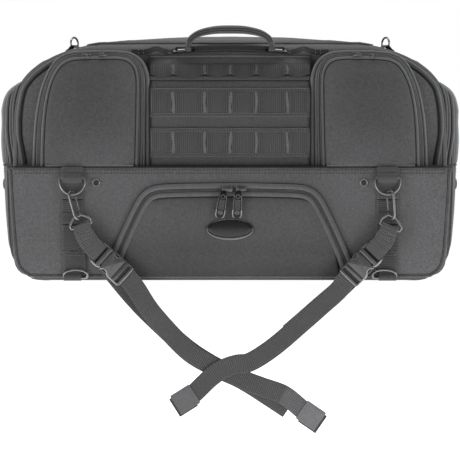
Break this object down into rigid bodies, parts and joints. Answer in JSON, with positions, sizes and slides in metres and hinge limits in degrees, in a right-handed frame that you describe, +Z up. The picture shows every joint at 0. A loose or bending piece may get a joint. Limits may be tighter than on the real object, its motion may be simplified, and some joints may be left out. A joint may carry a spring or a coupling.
{
  "type": "motorcycle rear luggage bag",
  "caption": "Arched fabric rear luggage bag with side and corner pockets, a webbing grid, a zipped front pocket and crossing tie-down straps on snap hooks.",
  "frame": {"origin": "on the underside of the base panel, midway between left and right and 10 mm behind the middle of the panel from front to back", "axes": "+Z up, the front with the webbing grid and the straps faces -Y, +X to the right as seen from the front"},
  "size_m": [0.614, 0.3314, 0.525],
  "materials": {
    "fabric": "matt woven ballistic nylon, coarse weave",
    "panel": "padded woven nylon panel",
    "webbing": "ribbed nylon webbing",
    "board": "matt board",
    "metal": "dark nickel plating, polished wire",
    "plastic": "satin moulded plastic",
    "badge": "dark glossy enamel, plain"
  },
  "bodies": {
    "root": {"main_shell": "fabric", "base_panel": "board", "stiffener_board": "board", "rear_sleeve": "fabric", "front_lower_pocket": "fabric", "accessory_pocket": "fabric", "centre_panel": "fabric", "corner_pocket_left": "fabric", "corner_pocket_right": "fabric", "end_pocket_left": "fabric", "end_pocket_right": "fabric", "molle_row_bottom": "webbing", "molle_row_middle": "webbing", "molle_row_top": "webbing", "top_webbing": "webbing", "strip_webbing_left": "webbing", "strip_webbing_right": "webbing", "grommet_left": "metal", "grommet_right": "metal", "handle_bracket_left": "metal", "handle_bracket_right": "metal", "top_ring_keeper_left": "webbing", "top_ring_keeper_right": "webbing"},
    "main_lid": {"main_lid": "fabric"},
    "front_flap": {"front_flap": "panel", "badge_plate": "badge"},
    "carry_handle": {"carry_handle": "webbing"},
    "zip_slider_front_left": {"zip_slider_front_left": "metal"},
    "zip_pull_front_left": {"zip_pull_front_left": "metal"},
    "corner_door_left": {"corner_door_left": "panel"},
    "zip_slider_corner_inner_left": {"zip_slider_corner_inner_left": "metal"},
    "zip_slider_corner_outer_left": {"zip_slider_corner_outer_left": "metal"},
    "end_door_left": {"end_door_left": "panel"},
    "top_ring_left": {"top_ring_left": "metal"},
    "lower_d_ring_left": {"lower_d_ring_left": "metal"},
    "d_ring_left": {"d_ring_left": "metal"},
    "hook_left": {"hook_left": "metal"},
    "hook_gate_left": {"hook_gate_left": "metal"},
    "strap_head_left": {"strap_ring_left": "metal", "short_strap_left": "webbing", "buckle_male_left": "plastic"},
    "strap_tail_left": {"buckle_female_left": "plastic", "long_strap_left": "webbing"},
    "zip_slider_front_right": {"zip_slider_front_right": "metal"},
    "zip_pull_front_right": {"zip_pull_front_right": "metal"},
    "corner_door_right": {"corner_door_right": "panel"},
    "zip_slider_corner_inner_right": {"zip_slider_corner_inner_right": "metal"},
    "zip_slider_corner_outer_right": {"zip_slider_corner_outer_right": "metal"},
    "end_door_right": {"end_door_right": "panel"},
    "top_ring_right": {"top_ring_right": "metal"},
    "lower_d_ring_right": {"lower_d_ring_right": "metal"},
    "d_ring_right": {"d_ring_right": "metal"},
    "hook_right": {"hook_right": "metal"},
    "hook_gate_right": {"hook_gate_right": "metal"},
    "strap_head_right": {"strap_ring_right": "metal", "short_strap_right": "webbing", "buckle_male_right": "plastic"},
    "strap_tail_right": {"buckle_female_right": "plastic", "long_strap_right": "webbing"}
  },
  "joints": [
    {"name": "lid_hinge", "type": "hinge", "parent": "root", "child": "main_lid", "pos_m": [0, 0.119, 0.315], "axis": [-1, 0, 0], "range_deg": [0, 105]},
    {"name": "flap_fold", "type": "hinge", "parent": "root", "child": "front_flap", "pos_m": [0, -0.158, 0.052], "axis": [1, 0, 0], "range_deg": [0, 75]},
    {"name": "handle_swing", "type": "hinge", "parent": "root", "child": "carry_handle", "pos_m": [0, -0.1165, 0.303], "axis": [1, 0, 0], "range_deg": [-20, 85]},
    {"name": "front_zip_slide_left", "type": "slide", "parent": "front_flap", "child": "zip_slider_front_left", "axis": [-1, 0, 0], "range_m": [0, 0.065]},
    {"name": "zip_pull_swing_left", "type": "hinge", "parent": "zip_slider_front_left", "child": "zip_pull_front_left", "pos_m": [-0.0096, -0.1639, 0.114], "axis": [-1, 0, 0], "range_deg": [0, 110]},
    {"name": "corner_door_fold_left", "type": "hinge", "parent": "root", "child": "corner_door_left", "pos_m": [-0.18, -0.15, 0.1488], "axis": [1, 0, 0], "range_deg": [0, 80]},
    {"name": "corner_zip_slide_inner_left", "type": "slide", "parent": "corner_door_left", "child": "zip_slider_corner_inner_left", "axis": [1, 0, 0], "range_m": [0, 0.02]},
    {"name": "corner_zip_slide_outer_left", "type": "slide", "parent": "corner_door_left", "child": "zip_slider_corner_outer_left", "axis": [-1, 0, 0], "range_m": [0, 0.02]},
    {"name": "end_door_fold_left", "type": "hinge", "parent": "root", "child": "end_door_left", "pos_m": [-0.3046, 0, 0.15], "axis": [0, -1, 0], "range_deg": [0, 80]},
    {"name": "top_ring_swing_left", "type": "hinge", "parent": "root", "child": "top_ring_left", "pos_m": [-0.2048, -0.088, 0.3089], "axis": [0, 1, 0], "range_deg": [-70, 70]},
    {"name": "lower_d_ring_swing_left", "type": "hinge", "parent": "root", "child": "lower_d_ring_left", "pos_m": [-0.2045, -0.1538, 0.004], "axis": [-1, 0, 0], "range_deg": [-110, 0]},
    {"name": "d_ring_swing_left", "type": "hinge", "parent": "root", "child": "d_ring_left", "pos_m": [-0.2045, -0.156, 0.134], "axis": [1, 0, 0], "range_deg": [-90, 0]},
    {"name": "hook_swing_left", "type": "hinge", "parent": "d_ring_left", "child": "hook_left", "pos_m": [-0.206, -0.16, 0.1128], "axis": [0, 1, 0], "range_deg": [-2, 10]},
    {"name": "hook_gate_left_open", "type": "hinge", "parent": "hook_left", "child": "hook_gate_left", "pos_m": [-0.19523, -0.15867, 0.09271], "axis": [0.6812, -0.6812, 0.268], "range_deg": [0, 24]},
    {"name": "strap_ring_swing_left", "type": "hinge", "parent": "hook_left", "child": "strap_head_left", "pos_m": [-0.19683, -0.1636, 0.08424], "axis": [0, 1, 0], "range_deg": [0, 18]},
    {"name": "buckle_release_left", "type": "slide", "parent": "strap_head_left", "child": "strap_tail_left", "axis": [0.746, 0, -0.666], "range_m": [0, 0.03]},
    {"name": "front_zip_slide_right", "type": "slide", "parent": "front_flap", "child": "zip_slider_front_right", "axis": [1, 0, 0], "range_m": [0, 0.065]},
    {"name": "zip_pull_swing_right", "type": "hinge", "parent": "zip_slider_front_right", "child": "zip_pull_front_right", "pos_m": [0.0136, -0.1639, 0.114], "axis": [-1, 0, 0], "range_deg": [0, 110]},
    {"name": "corner_door_fold_right", "type": "hinge", "parent": "root", "child": "corner_door_right", "pos_m": [0.18, -0.15, 0.1488], "axis": [1, 0, 0], "range_deg": [0, 80]},
    {"name": "corner_zip_slide_inner_right", "type": "slide", "parent": "corner_door_right", "child": "zip_slider_corner_inner_right", "axis": [-1, 0, 0], "range_m": [0, 0.02]},
    {"name": "corner_zip_slide_outer_right", "type": "slide", "parent": "corner_door_right", "child": "zip_slider_corner_outer_right", "axis": [1, 0, 0], "range_m": [0, 0.02]},
    {"name": "end_door_fold_right", "type": "hinge", "parent": "root", "child": "end_door_right", "pos_m": [0.3046, 0, 0.15], "axis": [0, 1, 0], "range_deg": [0, 80]},
    {"name": "top_ring_swing_right", "type": "hinge", "parent": "root", "child": "top_ring_right", "pos_m": [0.2048, -0.088, 0.3089], "axis": [0, 1, 0], "range_deg": [-70, 70]},
    {"name": "lower_d_ring_swing_right", "type": "hinge", "parent": "root", "child": "lower_d_ring_right", "pos_m": [0.2045, -0.1538, 0.004], "axis": [1, 0, 0], "range_deg": [0, 110]},
    {"name": "d_ring_swing_right", "type": "hinge", "parent": "root", "child": "d_ring_right", "pos_m": [0.2045, -0.156, 0.134], "axis": [1, 0, 0], "range_deg": [-90, 0]},
    {"name": "hook_swing_right", "type": "hinge", "parent": "d_ring_right", "child": "hook_right", "pos_m": [0.2072, -0.16, 0.113], "axis": [0, 1, 0], "range_deg": [-10, 2]},
    {"name": "hook_gate_right_open", "type": "hinge", "parent": "hook_right", "child": "hook_gate_right", "pos_m": [0.20488, -0.15879, 0.09182], "axis": [0.7068, 0.7068, -0.0308], "range_deg": [0, 24]},
    {"name": "strap_ring_swing_right", "type": "hinge", "parent": "hook_right", "child": "strap_head_right", "pos_m": [0.20935, -0.16359, 0.08437], "axis": [0, 1, 0], "range_deg": [-18, 0]},
    {"name": "buckle_release_right", "type": "slide", "parent": "strap_head_right", "child": "strap_tail_right", "axis": [-0.7001, 0, -0.7141], "range_m": [0, 0.03]}
  ],
  "couplings": [
    {"joint": "d_ring_swing_right", "follows": "d_ring_swing_left", "ratio": 1}
  ]
}
